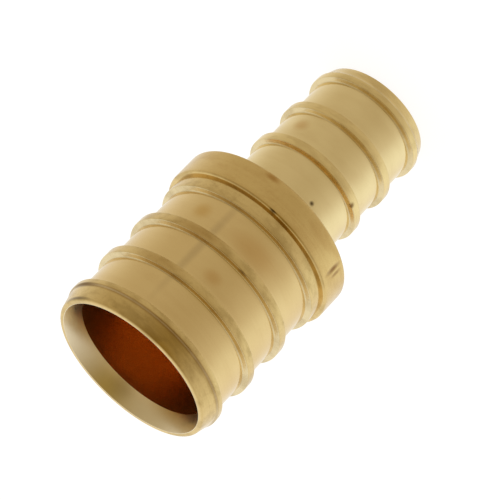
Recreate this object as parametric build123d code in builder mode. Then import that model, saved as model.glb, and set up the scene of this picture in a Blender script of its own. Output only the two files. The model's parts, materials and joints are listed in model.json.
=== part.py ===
from build123d import *
import os
from dataclasses import dataclass
from math import radians, tan

# Reducing coupling for crimp-ring water tube, turned from one length of brass bar.
# Millimetres, +Z along the water way from the small rim (z = 0) to the large mouth.

# Stop collar between the inserts; each tube is pushed on until it meets it.
collar_diameter = 18.0
collar_width = 3.0
collar_edge_radius = 0.25

# Annular ribs. Every rib has the same crest, steep flanks and radii, apart from the
# first one, where the lead-in cone ends in a low step and takes up part of the crest.
rib_count = 3
rib_crest_width = 0.9
rib_flank_run = 0.08
lead_in_step_run = 0.12
rib_crest_radius = 0.1
rib_root_radius = 0.13

# The last crest is a plain band that runs into the collar.
stop_band_width = 1.4

# Rim: a narrow flat ring, rounded towards the outside and countersunk inside.
rim_nose_radius = 0.22
countersink_depth = 1.8

# The larger drill stops past the collar's first face with this included angle.
drill_point_angle = 118.0


@dataclass(frozen=True)
class Insert:
    """One hollow ribbed end, with distances measured from its rim."""

    length: float
    land_diameter: float
    rib_diameter: float
    rim_diameter: float
    lead_in_diameter: float
    lead_in_length: float
    first_rib: float
    rib_pitch: float
    lip_diameter: float
    bore_diameter: float


large = Insert(
    length=16.2,
    land_diameter=15.97,
    rib_diameter=17.06,
    rim_diameter=16.06,
    lead_in_diameter=16.8,
    lead_in_length=1.56,
    first_rib=1.82,
    rib_pitch=4.45,
    lip_diameter=15.18,
    bore_diameter=13.94,
)
small = Insert(
    length=16.1,
    land_diameter=11.04,
    rib_diameter=12.07,
    rim_diameter=11.1,
    lead_in_diameter=11.84,
    lead_in_length=1.13,
    first_rib=1.47,
    rib_pitch=4.45,
    lip_diameter=10.32,
    bore_diameter=9.0,
)

# How far the large bore keeps its full diameter, measured from the large mouth.
large_bore_depth = 16.4

total_length = small.length + collar_width + large.length

# Each insert is drawn with X as radius and Y as distance from its own rim.
small_rim = Plane.XZ
large_rim = Plane(origin=(0, 0, total_length), x_dir=(1, 0, 0), z_dir=(0, 1, 0))


def at_radius(radius):
    """Selector for the corners of a section that lie at one radius."""
    return lambda corner: abs(corner.X - radius) < 1e-4


def insert_outline(insert):
    """Outside of an insert as (radius, distance) corners, from rim to collar."""
    land = insert.land_diameter / 2
    crest = insert.rib_diameter / 2
    corners = [
        (insert.rim_diameter / 2, 0),
        (insert.lead_in_diameter / 2, insert.lead_in_length),
        (crest, insert.lead_in_length + lead_in_step_run),
    ]
    for number in range(rib_count):
        crest_start = insert.first_rib + number * insert.rib_pitch - rib_crest_width / 2
        crest_end = crest_start + rib_crest_width
        if number:
            corners += [(land, crest_start - rib_flank_run), (crest, crest_start)]
        corners += [(crest, crest_end), (land, crest_end + rib_flank_run)]
    band_start = insert.length - stop_band_width
    corners += [(land, band_start - rib_flank_run), (crest, band_start), (crest, insert.length)]
    return corners


def insert_section(insert, rim_plane):
    """Half section of an insert before boring, with its rib and rim radii."""
    with BuildSketch(rim_plane) as section:
        with BuildLine():
            Polyline((0, 0), *insert_outline(insert), (0, insert.length), close=True)
        make_face()
        crest_corners = section.vertices().filter_by(at_radius(insert.rib_diameter / 2))
        fillet(crest_corners.sort_by(Axis.Y)[:-1], rib_crest_radius)
        fillet(section.vertices().filter_by(at_radius(insert.land_diameter / 2)), rib_root_radius)
        fillet(section.vertices().filter_by(at_radius(insert.rim_diameter / 2)), rim_nose_radius)
    return section.sketch


def waterway_section():
    """Half section of the stepped bore, drilled from the large mouth, with both countersinks."""
    small_bore = small.bore_diameter / 2
    large_bore = large.bore_diameter / 2
    step_top = total_length - large_bore_depth
    step_bottom = step_top - (large_bore - small_bore) / tan(radians(drill_point_angle / 2))
    with BuildSketch(Plane.XZ) as section:
        with BuildLine():
            Polyline(
                (0, 0),
                (small.lip_diameter / 2, 0),
                (small_bore, countersink_depth),
                (small_bore, step_bottom),
                (large_bore, step_top),
                (large_bore, total_length - countersink_depth),
                (large.lip_diameter / 2, total_length),
                (0, total_length),
                close=True,
            )
        make_face()
    return section.sketch


with BuildPart() as coupling_body:
    for insert, rim_plane in ((small, small_rim), (large, large_rim)):
        revolve(insert_section(insert, rim_plane), axis=Axis.Z)

    with BuildSketch(Plane.XY.offset(small.length)):
        Circle(collar_diameter / 2)
    extrude(amount=collar_width)
    circles = coupling_body.edges().filter_by(GeomType.CIRCLE)
    fillet(circles.filter_by(lambda edge: abs(edge.radius - collar_diameter / 2) < 1e-4), collar_edge_radius)

    revolve(waterway_section(), axis=Axis.Z, mode=Mode.SUBTRACT)

coupling_body.part.label = "coupling_body"
os.makedirs("parts", exist_ok=True)
export_step(coupling_body.part, "parts/coupling_body.step")
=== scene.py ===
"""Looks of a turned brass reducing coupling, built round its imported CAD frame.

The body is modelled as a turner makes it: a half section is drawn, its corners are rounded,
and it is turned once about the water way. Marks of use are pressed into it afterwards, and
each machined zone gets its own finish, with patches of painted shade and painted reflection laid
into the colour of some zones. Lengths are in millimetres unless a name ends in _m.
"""

import json
import logging
import math
from dataclasses import dataclass, field
from enum import Enum
from typing import Callable

import bpy
from mathutils import Matrix, Vector

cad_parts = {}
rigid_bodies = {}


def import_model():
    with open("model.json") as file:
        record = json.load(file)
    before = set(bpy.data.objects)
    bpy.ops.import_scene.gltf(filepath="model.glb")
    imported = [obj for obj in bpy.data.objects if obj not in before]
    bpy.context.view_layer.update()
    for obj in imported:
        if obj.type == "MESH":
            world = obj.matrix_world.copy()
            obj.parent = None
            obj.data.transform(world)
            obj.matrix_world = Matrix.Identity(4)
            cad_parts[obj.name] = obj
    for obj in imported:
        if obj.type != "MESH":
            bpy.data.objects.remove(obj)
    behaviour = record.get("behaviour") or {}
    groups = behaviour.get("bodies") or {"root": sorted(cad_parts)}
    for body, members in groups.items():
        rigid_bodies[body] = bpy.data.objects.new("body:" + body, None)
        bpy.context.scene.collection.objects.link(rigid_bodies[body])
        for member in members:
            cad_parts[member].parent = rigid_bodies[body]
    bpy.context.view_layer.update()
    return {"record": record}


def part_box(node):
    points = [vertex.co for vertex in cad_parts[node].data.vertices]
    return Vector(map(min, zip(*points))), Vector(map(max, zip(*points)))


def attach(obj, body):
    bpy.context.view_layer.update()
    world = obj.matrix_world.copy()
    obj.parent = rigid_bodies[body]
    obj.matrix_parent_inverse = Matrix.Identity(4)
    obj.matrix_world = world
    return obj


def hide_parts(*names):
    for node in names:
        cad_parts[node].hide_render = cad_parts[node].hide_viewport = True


LOG = logging.getLogger("coupling")

METRES_PER_MM = 0.001
# Facets round the body, 0.19 mm each on the collar.
TURN_STEPS = 300
# Points of the section that are nearer than this are one corner.
SAME_CORNER = 1e-3
# Points of the mesh that are nearer than this are merged.
SAME_POINT = 1e-4


class Zone(Enum):
    """Machined zones of the body, in the order of its material slots."""

    LARGE_LAND = 0
    SMALL_LAND = 1
    LARGE_CREST = 2
    SMALL_CREST = 3
    CORNER = 4
    COLLAR = 5
    BORE = 6
    MOUTH = 7


class Press(Enum):
    """How a mark shows: only as colour, which is soil on some marks and painted shade or painted
    reflection on others, or as a dent as well.
    """

    SOILED = "soiled"
    DENTED = "dented"


def hex_to_linear(code: str) -> tuple[float, float, float, float]:
    """Turn an sRGB hex colour into linear RGBA.

    Args:
        code: Six hex digits, with or without a leading hash.

    Returns:
        Linear red, green, blue and an alpha of one.
    """
    code = code.lstrip("#")
    channels = [int(code[i : i + 2], 16) / 255 for i in (0, 2, 4)]
    linear = [c / 12.92 if c <= 0.04045 else ((c + 0.055) / 1.055) ** 2.4 for c in channels]
    return (linear[0], linear[1], linear[2], 1.0)


def add_node(tree: bpy.types.NodeTree, kind: str, settings: dict | None = None,
             inputs: dict | None = None) -> bpy.types.Node:
    """Add one shader node with its settings, values and links.

    Args:
        tree: Node tree that gets the node.
        kind: Node type, such as "ShaderNodeMath".
        settings: Properties of the node itself.
        inputs: Socket name or index to a value, or to an output socket that feeds it.

    Returns:
        The new node.
    """
    node = tree.nodes.new(kind)
    for name, value in (settings or {}).items():
        setattr(node, name, value)
    for key, value in (inputs or {}).items():
        socket = node.inputs[key]
        if isinstance(value, bpy.types.NodeSocket):
            tree.links.new(value, socket)
        else:
            socket.default_value = value
    return node


def new_material(name: str) -> tuple[bpy.types.Material, bpy.types.NodeTree]:
    """Make an empty node material.

    Args:
        name: The finish, in a maker's words.

    Returns:
        The material and its cleared node tree.
    """
    material = bpy.data.materials.new(name)
    material.use_nodes = True
    material.node_tree.nodes.clear()
    return material, material.node_tree


def deselect_all() -> None:
    """Clear the object selection, which holds the CAD nodes after loading."""
    for obj in bpy.context.view_layer.objects:
        obj.select_set(False)


def heading(azimuth: float, elevation: float) -> Vector:
    """Unit vector from the body. Azimuth runs from the front towards the left side."""
    around, up = math.radians(azimuth), math.radians(elevation)
    return Vector((-math.sin(around) * math.cos(up), -math.cos(around) * math.cos(up), math.sin(up)))


def at_corner(point: Vector, corner: Vector) -> bool:
    """Whether a section point is a corner's own."""
    return (point - corner).length < SAME_CORNER


@dataclass(frozen=True)
class Corner:
    """One corner of the half section: its radius and height, and the radius of its rounding."""

    radius: float
    height: float
    rounding: float = 0.0

    def place(self) -> Vector:
        """Point of the corner in the XZ plane."""
        return Vector((self.radius, 0.0, self.height))


@dataclass(frozen=True)
class Mark:
    """A small mark of use, or a patch of painted shade or painted reflection: an oval spot, whose length
    runs along the axis and width round it.
    """

    name: str
    height: float
    angle: float
    radius: float
    width: float
    length: float
    strength: float
    depth: float = 0.0
    colour: str = "#4A3418"

    @property
    def press(self) -> Press:
        """Whether the mark is only colour, by soil or by painted shade or reflection, or dented too."""
        return Press.DENTED if self.depth else Press.SOILED

    def place(self) -> Vector:
        """Point on the surface, with the angle running from the front towards the left side."""
        return heading(self.angle, 0.0) * self.radius + Vector((0.0, 0.0, self.height))


@dataclass(frozen=True)
class RibForm:
    """Cross section that the ribs share."""

    count: int = 3
    crest_width: float = 0.9
    flank_run: float = 0.08
    lead_in_step_run: float = 0.12
    crest_rounding: float = 0.1
    root_rounding: float = 0.13
    band_width: float = 1.4


@dataclass(frozen=True)
class RibbedInsert:
    """One hollow ribbed end. Distances run from its rim towards the collar."""

    rim_height: float
    towards_collar: int
    length: float
    crest_radius: float
    bore_radius: float
    land_radius: float
    rim_radius: float
    lead_in_radius: float
    lead_in_length: float
    first_rib: float
    lip_radius: float
    rib_pitch: float = 4.45
    countersink_depth: float = 1.8
    nose_rounding: float = 0.22
    lip_rounding: float = 0.05
    ribs: RibForm = field(default_factory=RibForm)

    def corner(self, radius: float, distance: float, rounding: float = 0.0) -> Corner:
        """Corner at a distance from the rim."""
        return Corner(radius, self.rim_height + self.towards_collar * distance, rounding)

    def outside(self) -> list[Corner]:
        """Outer corners from the rim to the foot of the collar.

        Returns:
            The rim, the lead-in cone, each rib and the band that runs into the collar.
        """
        form = self.ribs
        crest = [self.crest_radius, form.crest_rounding]
        land = [self.land_radius, form.root_rounding]
        steps = [(self.rim_radius, self.nose_rounding, 0.0),
                 (self.lead_in_radius, 0.0, self.lead_in_length),
                 (*crest, self.lead_in_length + form.lead_in_step_run)]
        for number in range(form.count):
            crest_start = self.first_rib + number * self.rib_pitch - form.crest_width / 2
            crest_end = crest_start + form.crest_width
            if number:
                steps += [(*land, crest_start - form.flank_run), (*crest, crest_start)]
            steps += [(*crest, crest_end), (*land, crest_end + form.flank_run)]
        band_start = self.length - form.band_width
        steps += [(*land, band_start - form.flank_run), (*crest, band_start),
                  (self.crest_radius, 0.0, self.length)]
        return [self.corner(radius, distance, rounding) for radius, rounding, distance in steps]

    def inside(self) -> list[Corner]:
        """Inner corners at the mouth.

        Returns:
            The rim's lip and the foot of the countersink.
        """
        return [
            self.corner(self.lip_radius, 0.0, self.lip_rounding),
            self.corner(self.bore_radius, self.countersink_depth, self.lip_rounding),
        ]

    def from_rim(self, height: float) -> float:
        """Distance of a height from this insert's rim."""
        return (height - self.rim_height) * self.towards_collar


@dataclass(frozen=True)
class BrassFinish:
    """Free-cutting brass with the marks of one machining step.

    Turned or drilled brass is a bare metal: no coat and no thick oxide, so nearly all it shows
    is its surroundings, tinted gold. Its tool lines run round the axis. Real feed marks are
    about 0.1 mm apart, too fine to show, so tool_line_mm draws them coarser. Air and hands
    tarnish it in soft brown clouds a millimetre or two across.
    """

    name: str
    colour: str = "#E9CE93"
    roughness: float = 0.18
    roughness_spread: float = 0.05
    tool_line_mm: float = 0.25
    tool_line_depth_mm: float = 0.0008
    tool_line_tint: float = 0.1
    cloud_mm: float = 1.6
    cloud_stretch: float = 2.5
    cloud_depth_mm: float = 0.006
    tarnish: str = "#B98F4C"
    tarnish_share: float = 0.08
    speckle_mm: float = 0.35
    speckle_share: float = 0.0
    anisotropy: float = 0.2
    # How many times longer the tool lines' noise is round the body than along it.
    tool_line_stretch: float = 60.0
    # Levels of noise between which each pattern fades in.
    cloud_levels: tuple[float, float] = (0.3, 0.7)
    tarnish_levels: tuple[float, float] = (0.42, 0.68)
    speckle_levels: tuple[float, float] = (0.5, 0.72)
    tool_line_levels: tuple[float, float] = (0.45, 0.75)
    # Share of a mark's half width that is soiled to its full strength.
    mark_core: float = 0.1

    def material(self, marks: tuple[Mark, ...] = ()) -> bpy.types.Material:
        """Build the node material.

        Args:
            marks: Spots of soil, and patches of painted shade and painted reflection, that reach this
                zone.

        Returns:
            A metal whose colour, roughness and bump vary on Object coordinates.
        """
        material, tree = new_material(self.name)
        place = add_node(tree, "ShaderNodeTexCoord").outputs["Object"]
        rings = self._rings(tree, place)
        lying = add_node(tree, "ShaderNodeMapping", {}, {
            "Vector": place, "Scale": Vector((1.0, 1.0, self.cloud_stretch)),
        }).outputs["Vector"]
        clouds = self._noise(tree, lying, self.cloud_mm * self.cloud_stretch, 3.0)
        speckles = self._noise(tree, place, self.speckle_mm, 1.0)
        tarnished = self._share(tree, clouds, self.tarnish_levels, self.tarnish_share)
        speckled = self._share(tree, speckles, self.speckle_levels, self.speckle_share)
        lined = self._share(tree, rings, self.tool_line_levels, self.tool_line_tint)
        colour = hex_to_linear(self.colour)
        for share in (tarnished, speckled, lined):
            colour = self._mix(tree, share, colour, self.tarnish)
        for mark in marks:
            colour = self._mix(tree, self._spot(tree, place, mark), colour, mark.colour)
        roughness = add_node(tree, "ShaderNodeMapRange", {}, {
            "Value": clouds, "From Min": self.cloud_levels[0], "From Max": self.cloud_levels[1],
            "To Min": self.roughness - self.roughness_spread,
            "To Max": self.roughness + self.roughness_spread,
        }).outputs["Result"]
        rippled = add_node(tree, "ShaderNodeBump", {}, {
            "Strength": 1.0, "Distance": self.cloud_depth_mm * METRES_PER_MM, "Height": clouds,
        }).outputs["Normal"]
        turned = add_node(tree, "ShaderNodeBump", {}, {
            "Strength": 1.0, "Distance": self.tool_line_depth_mm * METRES_PER_MM,
            "Height": rings, "Normal": rippled,
        }).outputs["Normal"]
        around = add_node(tree, "ShaderNodeTangent", {"direction_type": "RADIAL", "axis": "Z"})
        shader = add_node(tree, "ShaderNodeBsdfPrincipled", {}, {
            "Metallic": 1.0, "Anisotropic": self.anisotropy, "Base Color": colour,
            "Roughness": roughness, "Normal": turned, "Tangent": around.outputs["Tangent"],
        })
        add_node(tree, "ShaderNodeOutputMaterial", {}, {"Surface": shader.outputs["BSDF"]})
        return material

    def _mix(self, tree: bpy.types.NodeTree, share: bpy.types.NodeSocket,
             base: bpy.types.NodeSocket | tuple[float, ...], cover: str) -> bpy.types.NodeSocket:
        """Lay a colour over another by a share from 0 to 1."""
        return add_node(tree, "ShaderNodeMix", {"data_type": "RGBA"}, {
            "Factor": share, 6: base, 7: hex_to_linear(cover)}).outputs[2]

    def _share(self, tree: bpy.types.NodeTree, height: bpy.types.NodeSocket,
               levels: tuple[float, float], most: float) -> bpy.types.NodeSocket:
        """Turn a pattern's height into a share from 0 to the most that it covers."""
        return add_node(tree, "ShaderNodeMapRange", {"interpolation_type": "SMOOTHSTEP"}, {
            "Value": height, "From Min": levels[0], "From Max": levels[1], "To Max": most,
        }).outputs["Result"]

    def _rings(self, tree: bpy.types.NodeTree, place: bpy.types.NodeSocket) -> bpy.types.NodeSocket:
        """Noise squeezed along the axis, so that it reads as lines round the body.

        Args:
            tree: The material's nodes.
            place: Object coordinates in metres.

        Returns:
            A height from 0 to 1.
        """
        along = 1.0 / (self.tool_line_mm * METRES_PER_MM)
        around = along / self.tool_line_stretch
        squeezed = add_node(tree, "ShaderNodeMapping", {}, {
            "Vector": place, "Scale": Vector((around, around, along)),
        }).outputs["Vector"]
        return add_node(tree, "ShaderNodeTexNoise", {}, {
            "Vector": squeezed, "Scale": 1.0, "Detail": 2.0, "Roughness": 0.6,
        }).outputs["Fac"]

    def _noise(self, tree: bpy.types.NodeTree, place: bpy.types.NodeSocket, size: float,
               detail: float) -> bpy.types.NodeSocket:
        """Soft clouds of a given size.

        Args:
            tree: The material's nodes.
            place: Object coordinates in metres.
            size: Size of a cloud in millimetres.
            detail: Octaves of finer clouds.

        Returns:
            A value from 0 to 1.
        """
        return add_node(tree, "ShaderNodeTexNoise", {}, {
            "Vector": place, "Scale": 1.0 / (size * METRES_PER_MM), "Detail": detail,
            "Roughness": 0.5,
        }).outputs["Fac"]

    def _spot(self, tree: bpy.types.NodeTree, place: bpy.types.NodeSocket,
              mark: Mark) -> bpy.types.NodeSocket:
        """Share of a mark's colour, whether soil or painted shade or reflection, highest in its middle.

        Args:
            tree: The material's nodes.
            place: Object coordinates in metres.
            mark: The spot.

        Returns:
            A value from 0 to the mark's strength.
        """
        away = add_node(tree, "ShaderNodeVectorMath", {"operation": "SUBTRACT"}, {
            0: place, 1: mark.place() * METRES_PER_MM}).outputs[0]
        across = 2.0 / (mark.width * METRES_PER_MM)
        along = 2.0 / (mark.length * METRES_PER_MM)
        scaled = add_node(tree, "ShaderNodeVectorMath", {"operation": "MULTIPLY"}, {
            0: away, 1: (across, across, along)}).outputs[0]
        reach = add_node(tree, "ShaderNodeVectorMath", {"operation": "LENGTH"}, {
            0: scaled}).outputs["Value"]
        fading = {"label": mark.name, "interpolation_type": "SMOOTHSTEP"}
        return add_node(tree, "ShaderNodeMapRange", fading, {
            "Value": reach, "From Min": 1.0, "From Max": self.mark_core, "To Max": mark.strength,
        }).outputs["Result"]


FINISHES = {
    # Finish turning under the tube: bright and even, with lines too faint to feel.
    Zone.LARGE_LAND: BrassFinish("turned_brass", roughness=0.11, roughness_spread=0.03,
                                 tool_line_depth_mm=0.0005, tool_line_tint=0.05),
    Zone.SMALL_LAND: BrassFinish("fine_turned_brass", colour="#F2DDA6", roughness=0.11,
                                 roughness_spread=0.03, tool_line_depth_mm=0.0003,
                                 tool_line_tint=0.02),
    # Rib crests and cones, which hands and other fittings rub: duller, with brown clouds.
    Zone.LARGE_CREST: BrassFinish("handled_brass", colour="#E3C88A", tarnish="#A3874C",
                                  roughness=0.17, cloud_mm=0.9, tarnish_share=0.4,
                                  speckle_share=0.12),
    Zone.SMALL_CREST: BrassFinish("rubbed_brass", colour="#EFD79A", tarnish="#A98D50",
                                  roughness=0.15, cloud_mm=0.9, tarnish_share=0.25),
    # Flanks and roots, where the tool leaves a rougher surface and dirt stays.
    Zone.CORNER: BrassFinish("grimed_brass", colour="#EAD8AA", tarnish="#A0844A", roughness=0.24,
                             cloud_mm=0.9, tarnish_share=0.3, speckle_share=0.05),
    # The collar keeps the skin of the drawn bar: darker, satin, lightly clouded.
    Zone.COLLAR: BrassFinish("drawn_bar_brass", colour="#E0C382", roughness=0.18,
                             tarnish_share=0.25, speckle_share=0.08, cloud_mm=1.3),
    # A drilled bore is smooth here. Light that bounces in it many times comes out red brown,
    # and its patterns are off because each bounce would show them again.
    Zone.BORE: BrassFinish("drilled_brass", colour="#EEBB73", roughness=0.24,
                           roughness_spread=0.0, tool_line_depth_mm=0.0, tool_line_tint=0.0,
                           tarnish_share=0.0, cloud_depth_mm=0.0, anisotropy=0.0),
    # The countersinks are cut last, so they are the palest metal, with faint stains only.
    Zone.MOUTH: BrassFinish("countersunk_brass", colour="#F4E7C8", roughness=0.28,
                            roughness_spread=0.0, tool_line_depth_mm=0.0, tool_line_tint=0.0,
                            tarnish_share=0.04, cloud_depth_mm=0.0),
}


@dataclass
class CouplingBody:
    """The whole fitting: two ribbed inserts, the stop collar and the stepped bore."""

    large: RibbedInsert
    small: RibbedInsert
    collar_radius: float
    collar_rounding: float = 0.25
    large_bore_depth: float = 16.4
    drill_point_angle: float = 118.0
    # Length of the steps that the section's straight runs are cut into.
    outside_step: float = 0.33
    inside_step: float = 1.0
    # Degrees that one segment of a rounded corner may turn, and that smooth shading may span.
    segment_turn: float = 17.0
    smooth_below: float = 28.0
    # How far under its full width the large bore still counts as the one inside.
    bore_overrun: float = 3.0
    # How far a face may lie from its zone's nominal radius.
    zone_margin: float = 0.02
    # Radial offsets from a mark's middle at which its neighbouring zones are looked for.
    mark_depths: tuple[float, ...] = (-0.2, -0.05, 0.0)
    marks: tuple[Mark, ...] = ()

    @classmethod
    def from_frame(cls, record: dict) -> "CouplingBody":
        """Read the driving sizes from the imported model.

        Args:
            record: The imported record, whose mounts give ribs, bores and stops.

        Returns:
            A body of the frame's size.
        """
        low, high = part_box("coupling_body")
        mounts = {mount["name"]: mount for mount in record["mounts"]}

        def radius(name: str) -> float:
            """Radius of a round mount, in millimetres."""
            return mounts[name]["dims"]["r_mm"]

        def height(name: str) -> float:
            """Height of a mount's origin, in millimetres."""
            return mounts[name]["pos_m"][2] / METRES_PER_MM

        top = high.z / METRES_PER_MM
        large = RibbedInsert(
            rim_height=top, towards_collar=-1, length=top - height("large_tube_stop"),
            crest_radius=radius("large_insert"), bore_radius=radius("large_bore"),
            land_radius=7.985, rim_radius=8.03, lead_in_radius=8.4, lead_in_length=1.56,
            first_rib=1.82, lip_radius=7.59,
        )
        small = RibbedInsert(
            rim_height=low.z / METRES_PER_MM, towards_collar=1, length=height("small_tube_stop"),
            crest_radius=radius("small_insert"), bore_radius=radius("small_bore"),
            land_radius=5.52, rim_radius=5.55, lead_in_radius=5.92, lead_in_length=1.13,
            first_rib=1.47, lip_radius=5.16,
        )
        return cls(large, small, collar_radius=9.0, marks=MARKS)

    @property
    def collar_span(self) -> tuple[float, float]:
        """Heights of the collar's lower and upper face."""
        return (self.small.rim_height + self.small.length, self.large.rim_height - self.large.length)

    @property
    def drill_point(self) -> tuple[float, float]:
        """Cone that the drill's point leaves between the bores.

        Returns:
            Heights of its narrow and of its wide end.
        """
        top = self.large.rim_height - self.large_bore_depth
        narrowing = self.large.bore_radius - self.small.bore_radius
        return (top - narrowing / math.tan(math.radians(self.drill_point_angle / 2)), top)

    def section(self) -> list[Corner]:
        """Closed half section, from the small rim up the outside and back down the bore.

        Returns:
            Corners in order round the wall of the fitting.
        """
        narrow, wide = self.drill_point
        return [
            *self.small.outside(),
            *(Corner(self.collar_radius, height, self.collar_rounding) for height in self.collar_span),
            *reversed(self.large.outside()),
            *self.large.inside(),
            Corner(self.large.bore_radius, wide),
            Corner(self.small.bore_radius, narrow),
            *reversed(self.small.inside()),
        ]

    def build(self) -> bpy.types.Object:
        """Model, mark and dress the body.

        Returns:
            The finished piece, at the origin and in metres.
        """
        body = self._draw_section()
        self._round_corners(body)
        self._divide_runs(body)
        self._turn(body)
        for mark in self.marks:
            if mark.press is Press.DENTED:
                self._dent(body, mark)
        self._to_metres(body)
        self._dress(body)
        return body

    def _draw_section(self) -> bpy.types.Object:
        """Draw the half section as a closed run of edges, one extrusion for each corner.

        Returns:
            The section as an object in edit mode, in millimetres.
        """
        corners = self.section()
        deselect_all()
        first = corners[0].place()
        # A tiny circle, merged to one point, is where the extrusions start.
        bpy.ops.mesh.primitive_circle_add(vertices=3, radius=SAME_CORNER, location=first)
        body = bpy.context.object
        body.name = body.data.name = "turned_body"
        bpy.ops.object.transform_apply(location=True, rotation=True, scale=True)
        bpy.ops.object.mode_set(mode="EDIT")
        bpy.ops.mesh.select_all(action="SELECT")
        bpy.ops.mesh.merge(type="CENTER")
        last = first
        for corner in corners[1:]:
            step = corner.place() - last
            bpy.ops.mesh.extrude_region_move(TRANSFORM_OT_translate={"value": step})
            last = corner.place()
        self._select_vertices(body, lambda p: at_corner(p, first) or at_corner(p, last))
        bpy.ops.mesh.edge_face_add()
        return body

    def _round_corners(self, body: bpy.types.Object) -> None:
        """Round the section's corners by vertex bevels, alike corners together.

        Args:
            body: The section.
        """
        corners = self.section()
        alike: dict[tuple[float, int], list[Vector]] = {}
        for number, corner in enumerate(corners):
            if not corner.rounding:
                continue
            before = corners[number - 1].place() - corner.place()
            after = corners[(number + 1) % len(corners)].place() - corner.place()
            turn = math.pi - before.angle(after)
            offset = round(corner.rounding * math.tan(turn / 2), 4)
            segments = math.ceil(math.degrees(turn) / self.segment_turn)
            alike.setdefault((offset, segments), []).append(corner.place())
        for (offset, segments), places in alike.items():
            self._select_vertices(body, lambda p: any(at_corner(p, place) for place in places))
            bpy.ops.mesh.bevel(affect="VERTICES", offset_type="OFFSET", segments=segments, offset=offset)

    def _divide_runs(self, body: bpy.types.Object) -> None:
        """Cut the long straight runs into short steps, finer outside than in the bore.

        Args:
            body: The section.
        """
        bpy.ops.object.mode_set(mode="OBJECT")
        runs: dict[int, list[Vector]] = {}
        for edge in body.data.edges:
            start, end = (body.data.vertices[i].co for i in edge.vertices)
            inner = self._is_inside(start) and self._is_inside(end)
            step = self.inside_step if inner else self.outside_step
            count = round((start - end).length / step) - 1
            if count > 0:
                runs.setdefault(count, []).append((start + end) / 2)
        for count, centres in runs.items():
            self._select_edges(body, centres)
            bpy.ops.mesh.subdivide(number_cuts=count)

    def _is_inside(self, point: Vector) -> bool:
        """Whether a section point belongs to the bore or a countersink."""
        end = self.large if point.z > self.drill_point[1] - self.bore_overrun else self.small
        return point.x < end.lip_radius + end.lip_rounding

    def _select_vertices(self, body: bpy.types.Object, wanted: Callable[[Vector], bool]) -> None:
        """Select the vertices that a test accepts, and stay in edit mode.

        Args:
            body: The section or the body.
            wanted: Test of a vertex's place.
        """
        bpy.ops.object.mode_set(mode="EDIT")
        bpy.ops.mesh.select_mode(type="VERT")
        bpy.ops.mesh.select_all(action="DESELECT")
        bpy.ops.object.mode_set(mode="OBJECT")
        for vertex in body.data.vertices:
            vertex.select = wanted(vertex.co)
        bpy.ops.object.mode_set(mode="EDIT")

    def _select_edges(self, body: bpy.types.Object, centres: list[Vector]) -> None:
        """Select the edges whose middles are at the given places, and stay in edit mode.

        Args:
            body: The section.
            centres: Middles of the wanted edges.
        """
        bpy.ops.object.mode_set(mode="EDIT")
        bpy.ops.mesh.select_mode(type="EDGE")
        bpy.ops.mesh.select_all(action="DESELECT")
        bpy.ops.object.mode_set(mode="OBJECT")
        for edge in body.data.edges:
            start, end = (body.data.vertices[i].co for i in edge.vertices)
            middle = (start + end) / 2
            edge.select = any((middle - centre).length < SAME_POINT for centre in centres)
        bpy.ops.object.mode_set(mode="EDIT")

    def _turn(self, body: bpy.types.Object) -> None:
        """Turn the section once round the axis and close the seam, with the faces outwards.

        Args:
            body: The section, which becomes the body.
        """
        bpy.ops.object.mode_set(mode="OBJECT")
        bpy.ops.object.modifier_add(type="SCREW")
        screw = body.modifiers[-1]
        screw.axis, screw.angle = "Z", math.tau
        screw.steps = screw.render_steps = TURN_STEPS
        screw.use_merge_vertices, screw.merge_threshold = True, SAME_POINT
        bpy.ops.object.modifier_apply(modifier=screw.name)
        bpy.ops.object.mode_set(mode="EDIT")
        bpy.ops.mesh.select_all(action="SELECT")
        bpy.ops.mesh.remove_doubles(threshold=SAME_POINT)
        bpy.ops.mesh.select_all(action="SELECT")
        bpy.ops.mesh.normals_make_consistent(inside=False)
        bpy.ops.object.mode_set(mode="OBJECT")

    def _dent(self, body: bpy.types.Object, mark: Mark) -> None:
        """Press one mark into the surface, with its neighbourhood following softly.

        Args:
            body: The turned body.
            mark: The dent, with a long one pressed in along its middle line.
        """
        place = mark.place()
        half_run = max(0.0, mark.length - mark.width) / 2
        reach = math.pi * mark.radius / TURN_STEPS

        def on_mark(point: Vector) -> bool:
            """Whether a point lies on the mark's middle line.

            Args:
                point: A vertex's place.

            Returns:
                True within half a facet of the line.
            """
            away = point - place
            beyond = max(0.0, abs(away.z) - half_run)
            return math.hypot(away.x, away.y) < reach and beyond < self.outside_step / 2

        self._select_vertices(body, on_mark)
        bpy.ops.transform.translate(
            value=-heading(mark.angle, 0.0) * mark.depth, use_proportional_edit=True,
            use_proportional_connected=True, proportional_edit_falloff="SMOOTH",
            proportional_size=mark.width / 2,
        )
        bpy.ops.object.mode_set(mode="OBJECT")

    def _to_metres(self, body: bpy.types.Object) -> None:
        """Bring the finished mesh from millimetres to metres and smooth its shading.

        Args:
            body: The body, which keeps its place and scale in its mesh.
        """
        body.scale = (METRES_PER_MM,) * 3
        deselect_all()
        body.select_set(True)
        bpy.context.view_layer.objects.active = body
        bpy.ops.object.transform_apply(location=True, rotation=True, scale=True)
        bpy.ops.object.shade_smooth_by_angle(angle=math.radians(self.smooth_below))

    def _dress(self, body: bpy.types.Object) -> None:
        """Give each face the finish of its machining step, by its place.

        Args:
            body: The body in metres.
        """
        for zone in Zone:
            marks = tuple(mark for mark in self.marks if zone in self._touched(mark))
            body.data.materials.append(FINISHES[zone].material(marks))
        for face in body.data.polygons:
            face.material_index = self._zone_of(face.center / METRES_PER_MM).value

    def _touched(self, mark: Mark) -> set[Zone]:
        """Zones that a mark reaches, looked for halfway to its ends and a little below them.

        Args:
            mark: The mark.

        Returns:
            Every zone found.
        """
        middle = Vector((mark.radius, 0.0, mark.height))
        offsets = [Vector((depth, 0.0, share * mark.length))
                   for depth in self.mark_depths for share in (-0.25, 0.0, 0.25)]
        return {self._zone_of(middle + offset) for offset in offsets}

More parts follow.
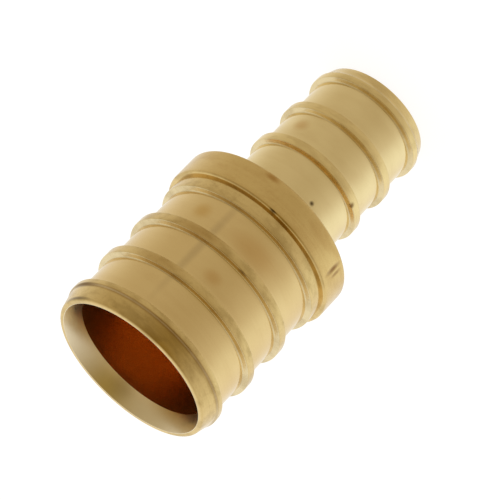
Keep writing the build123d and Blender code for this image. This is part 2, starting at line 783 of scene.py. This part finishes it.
    def _zone_of(self, middle: Vector) -> Zone:
        """Machined zone of a face.

        Args:
            middle: The face's middle in millimetres.

        Returns:
            The zone that it lies in.
        """
        radius = math.hypot(middle.x, middle.y)
        if self._is_inside(Vector((radius, 0.0, middle.z))):
            from_mouth = min(self.large.from_rim(middle.z), self.small.from_rim(middle.z))
            return Zone.MOUTH if from_mouth < self.large.countersink_depth else Zone.BORE
        if radius > self.collar_radius - self.zone_margin:
            return Zone.COLLAR
        insert = self.large if middle.z > self.collar_span[0] else self.small
        crest, land = ((Zone.LARGE_CREST, Zone.LARGE_LAND) if insert is self.large
                       else (Zone.SMALL_CREST, Zone.SMALL_LAND))
        on_cone = insert.from_rim(middle.z) < insert.lead_in_length
        if on_cone or radius > insert.crest_radius - self.zone_margin:
            return crest
        return Zone.CORNER if radius > insert.land_radius + self.zone_margin / 2 else land


MARKS = (
    # Pressed in: a pit in the small insert's last land, and two scratches across the collar.
    Mark("pit", height=13.93, angle=15.9, radius=5.52, width=0.7, length=0.7,
         strength=0.9, depth=0.03),
    Mark("collar_dent", height=17.45, angle=49.5, radius=9.0, width=0.9, length=2.6,
         strength=0.8, depth=0.035, colour="#80501F"),
    Mark("collar_scratch", height=17.3, angle=54.0, radius=9.0, width=0.7, length=1.8,
         strength=0.6, depth=0.02, colour="#80501F"),
    # Dark spots: dirt on ribs, beside the collar and on the lead-in cone.
    Mark("rib_nick", height=10.75, angle=44.8, radius=6.035, width=0.9, length=0.9,
         strength=0.8, colour="#6A4410"),
    Mark("rib_spot", height=24.85, angle=8.6, radius=8.5, width=1.7, length=0.8,
         strength=0.9, colour="#5E3F12"),
    Mark("collar_foot_dirt", height=18.94, angle=-3.3, radius=8.95, width=1.2, length=0.6,
         strength=0.9),
    Mark("collar_spot", height=16.52, angle=-16.3, radius=9.0, width=2.2, length=0.9,
         strength=0.7, colour="#B07E38"),
    Mark("cone_scratch", height=33.7, angle=-70.0, radius=8.5, width=6.0, length=0.6,
         strength=0.8),
    Mark("rim_scratch", height=35.1, angle=-70.0, radius=8.03, width=6.0, length=0.5,
         strength=0.7),
    # Brown stains on the lands, and a painted reflection: one dark streak along the axis that crosses
    # them.
    Mark("front_stain", height=27.16, angle=-2.2, radius=7.985, width=2.6, length=2.0,
         strength=0.5, colour="#CFA35E"),
    Mark("left_stain", height=22.34, angle=-38.8, radius=7.985, width=2.6, length=2.4,
         strength=0.5, colour="#D0A552"),
    Mark("wide_stain", height=22.7, angle=6.3, radius=7.985, width=7.0, length=3.6,
         strength=0.45, colour="#D6AA66"),
    Mark("small_stain", height=8.05, angle=-47.4, radius=5.52, width=2.4, length=2.0,
         strength=0.5, colour="#CFA35E"),
    # Painted reflection: a dark streak along the axis, across the lands.
    Mark("axial_painted_reflection", height=25.4, angle=-21.9, radius=7.985, width=1.3, length=18.0,
         strength=0.3, colour="#A08A66"),
    # Painted shade, laid into the colour as brownish patches that run part of the way round: on one side
    # of the large crests, on the front of the lead-in cone, in the step at the cone's foot, in the rib
    # roots and on the collar's edge.
    Mark("rib_painted_shade", height=24.6, angle=-27.0, radius=8.53, width=8.0, length=1.8,
         strength=0.6, colour="#B08A48"),
    Mark("tip_rib_painted_shade", height=29.05, angle=-32.0, radius=8.53, width=8.0, length=1.8,
         strength=0.45, colour="#B08A48"),
    # Painted shade: the front of the lead-in cone made darker.
    Mark("cone_painted_shade", height=34.5, angle=-4.0, radius=8.2, width=8.0, length=2.4,
         strength=0.25, colour="#8C6C34"),
    # Painted shade: a dark ring all the way round, in the step at the cone's foot.
    Mark("cone_foot_painted_shade", height=33.7, angle=-5.0, radius=8.47, width=40.0, length=0.5,
         strength=0.6, colour="#8E6426"),
    # Painted shade in the rib roots, on one side: darker where the front flanks meet the lands.
    Mark("tip_flank_painted_shade", height=29.5, angle=-28.0, radius=8.3, width=7.0, length=1.0,
         strength=0.3, colour="#8A6E3C"),
    Mark("middle_flank_painted_shade", height=25.05, angle=-28.0, radius=8.3, width=7.0, length=1.0,
         strength=0.25, colour="#8A6E3C"),
    Mark("collar_flank_painted_shade", height=20.55, angle=-25.0, radius=8.3, width=8.0, length=1.0,
         strength=0.3, colour="#8A6E3C"),
    # Painted shade on one side of the collar's edge, at the step from the large insert.
    Mark("collar_edge_painted_shade", height=19.0, angle=-26.0, radius=8.95, width=7.0, length=0.9,
         strength=0.35, colour="#A08048"),
    # Painted reflection: a greyer patch on the far side of the large countersink.
    Mark("mouth_painted_reflection", height=33.9, angle=175.0, radius=7.11, width=3.5, length=4.0,
         strength=0.35, colour="#A8946C"),
)


@dataclass(frozen=True)
class Dimming:
    """A side of the tent that gives less light, fading with the angle from its middle."""

    azimuth: float
    elevation: float
    sharpness: float
    strength: float
    absorbed: str


@dataclass(frozen=True)
class Panel:
    """A bright panel of the tent, which fades in with the cosine of the angle to its middle.

    Its light starts at one cosine and would be full at the other. A full_at past 1 keeps it
    below its full strength everywhere, with no edge that a reflection could show.
    """

    azimuth: float
    elevation: float
    starts_at: float
    full_at: float
    strength: float
    colour: str


@dataclass(frozen=True)
class Studio:
    """A light tent, dim at its opening in front, on one side and below, before plain white."""

    background: str = "#FFFFFF"
    tent_level: float = 1.104
    opening: Dimming = Dimming(azimuth=13.2, elevation=26.1, sharpness=1.24, strength=1.032,
                               absorbed="#E3EEFF")
    dim_side: Dimming = Dimming(azimuth=-85.2, elevation=8.5, sharpness=2.92, strength=0.463,
                                absorbed="#DDEAFF")
    dim_floor: Dimming = Dimming(azimuth=-90.0, elevation=-75.9, sharpness=2.55, strength=0.497,
                                 absorbed="#DDECFF")
    panel: Panel = Panel(azimuth=97.7, elevation=-36.1, starts_at=0.8, full_at=1.34,
                         strength=0.6, colour="#C1E5FF")
    camera_elevation: float = 26.28
    camera_roll: float = -136.37
    camera_distance: float = 256.8
    camera_aim: tuple[float, float, float] = (-0.387, 0.0, 18.86)
    camera_lens: float = 206.1
    camera_sensor: float = 36.0
    camera_reach_m: tuple[float, float] = (0.01, 20.0)
    lamp_size_m: float = 0.5
    lamp_watts: float = 0.35
    lamp_place_m: tuple[float, float, float] = (0.0, 0.1, 0.6)
    floor_size_m: float = 4.0
    floor_colour: str = "#8C8C8C"
    floor_glow: float = 0.9

    def build(self) -> None:
        """Make the camera, the world, the lamp and the floor."""
        self._camera()
        self._world()
        self._lamp()
        self._floor()

    def _camera(self) -> None:
        """Place the long lens in front and above, rolled so that the large mouth points down left."""
        data = bpy.data.cameras.new("long_lens")
        data.lens, data.sensor_width = self.camera_lens, self.camera_sensor
        data.clip_start, data.clip_end = self.camera_reach_m
        camera = bpy.data.objects.new("long_lens", data)
        bpy.context.scene.collection.objects.link(camera)
        back = heading(0.0, self.camera_elevation)
        aim = Vector(self.camera_aim) * METRES_PER_MM
        upright = back.to_track_quat("Z", "Y").to_matrix().to_4x4()
        roll = Matrix.Rotation(math.radians(self.camera_roll), 4, "Z")
        place = Matrix.Translation(aim + back * self.camera_distance * METRES_PER_MM)
        camera.matrix_world = place @ upright @ roll
        bpy.context.scene.camera = camera

    def _world(self) -> None:
        """White to the camera. To the metal, a white tent that dims towards its openings."""
        world = bpy.data.worlds.new("light_tent")
        bpy.context.scene.world = world
        world.use_nodes = True
        tree = world.node_tree
        tree.nodes.clear()
        towards = add_node(tree, "ShaderNodeTexCoord").outputs["Generated"]
        level = (self.tent_level,) * 3
        for side in (self.opening, self.dim_side, self.dim_floor):
            level = self._dim(tree, towards, level, side)
        level = self._brighten(tree, towards, level, self.panel)
        tent = add_node(tree, "ShaderNodeBackground", {}, {"Color": level})
        white = add_node(tree, "ShaderNodeBackground", {}, {"Color": hex_to_linear(self.background)})
        seen = add_node(tree, "ShaderNodeLightPath").outputs["Is Camera Ray"]
        mixed = add_node(tree, "ShaderNodeMixShader", {}, {
            0: seen, 1: tent.outputs[0], 2: white.outputs[0]})
        add_node(tree, "ShaderNodeOutputWorld", {}, {"Surface": mixed.outputs[0]})

    def _facing(self, tree: bpy.types.NodeTree, towards: bpy.types.NodeSocket, azimuth: float,
                elevation: float) -> bpy.types.NodeSocket:
        """Cosine of the angle between a ray and a heading."""
        return add_node(tree, "ShaderNodeVectorMath", {"operation": "DOT_PRODUCT"}, {
            0: towards, 1: heading(azimuth, elevation)}).outputs["Value"]

    def _dim(self, tree: bpy.types.NodeTree, towards: bpy.types.NodeSocket,
             level: bpy.types.NodeSocket | tuple[float, ...], side: Dimming) -> bpy.types.NodeSocket:
        """Take a side's missing light away from the tent.

        Args:
            tree: The world's nodes.
            towards: Direction of the ray.
            level: Light of the tent so far.
            side: Where and how much it dims.

        Returns:
            The light that is left.
        """
        facing = self._facing(tree, towards, side.azimuth, side.elevation)
        power = add_node(tree, "ShaderNodeMath", {"operation": "MULTIPLY_ADD"}, {
            0: facing, 1: side.sharpness, 2: -side.sharpness}).outputs[0]
        share = add_node(tree, "ShaderNodeMath", {"operation": "EXPONENT"}, {0: power}).outputs[0]
        lost = [side.strength * channel for channel in hex_to_linear(side.absorbed)[:3]]
        missing = add_node(tree, "ShaderNodeVectorMath", {"operation": "SCALE"}, {
            0: lost, "Scale": share}).outputs[0]
        return add_node(tree, "ShaderNodeVectorMath", {"operation": "SUBTRACT"}, {
            0: level, 1: missing}).outputs[0]

    def _brighten(self, tree: bpy.types.NodeTree, towards: bpy.types.NodeSocket,
                  level: bpy.types.NodeSocket, panel: Panel) -> bpy.types.NodeSocket:
        """Add a panel's light to the tent.

        Args:
            tree: The world's nodes.
            towards: Direction of the ray.
            level: Light of the tent so far.
            panel: Where the panel is and what it adds.

        Returns:
            The light with the panel.
        """
        share = add_node(tree, "ShaderNodeMapRange", {"interpolation_type": "SMOOTHSTEP"}, {
            "Value": self._facing(tree, towards, panel.azimuth, panel.elevation),
            "From Min": panel.starts_at, "From Max": panel.full_at,
            "To Max": panel.strength}).outputs["Result"]
        added = add_node(tree, "ShaderNodeVectorMath", {"operation": "SCALE"}, {
            0: hex_to_linear(panel.colour)[:3], "Scale": share}).outputs[0]
        return add_node(tree, "ShaderNodeVectorMath", {"operation": "ADD"}, {
            0: level, 1: added}).outputs[0]

    def _lamp(self) -> None:
        """One large soft lamp overhead, which draws the soft shadow on the floor."""
        data = bpy.data.lights.new("overhead_softbox", "AREA")
        data.shape, data.size, data.energy = "DISK", self.lamp_size_m, self.lamp_watts
        lamp = bpy.data.objects.new("overhead_softbox", data)
        bpy.context.scene.collection.objects.link(lamp)
        lamp.location = self.lamp_place_m
        lamp.visible_glossy = False

    def _floor(self) -> None:
        """A wide pale floor: white to the camera but for the soft shadow, clear to the metal."""
        deselect_all()
        bpy.ops.mesh.primitive_plane_add(size=self.floor_size_m, location=(0, 0, 0))
        floor = bpy.context.object
        floor.name = "floor"
        material, tree = new_material("white_table")
        colour = hex_to_linear(self.floor_colour)
        shade = add_node(tree, "ShaderNodeBsdfDiffuse", {}, {"Color": colour})
        glow = add_node(tree, "ShaderNodeEmission", {}, {"Strength": self.floor_glow})
        table = add_node(tree, "ShaderNodeAddShader", {}, {0: shade.outputs[0], 1: glow.outputs[0]})
        clear = add_node(tree, "ShaderNodeBsdfTransparent")
        path = add_node(tree, "ShaderNodeLightPath")
        seen = add_node(tree, "ShaderNodeMixShader", {}, {
            0: path.outputs["Is Camera Ray"], 1: clear.outputs[0], 2: table.outputs[0]})
        add_node(tree, "ShaderNodeOutputMaterial", {}, {"Surface": seen.outputs[0]})
        floor.data.materials.append(material)


def main() -> None:
    """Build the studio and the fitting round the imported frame."""
    logging.basicConfig(level=logging.INFO, format="%(name)s: %(message)s")
    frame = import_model()
    bpy.context.scene.view_settings.view_transform = "Standard"
    Studio().build()
    body = CouplingBody.from_frame(frame["record"]).build()
    LOG.info("%s: %d triangles", body.name,
             sum(len(face.vertices) - 2 for face in body.data.polygons))
    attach(body, "root")
    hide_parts("coupling_body")


if __name__ == "__main__":
    main()
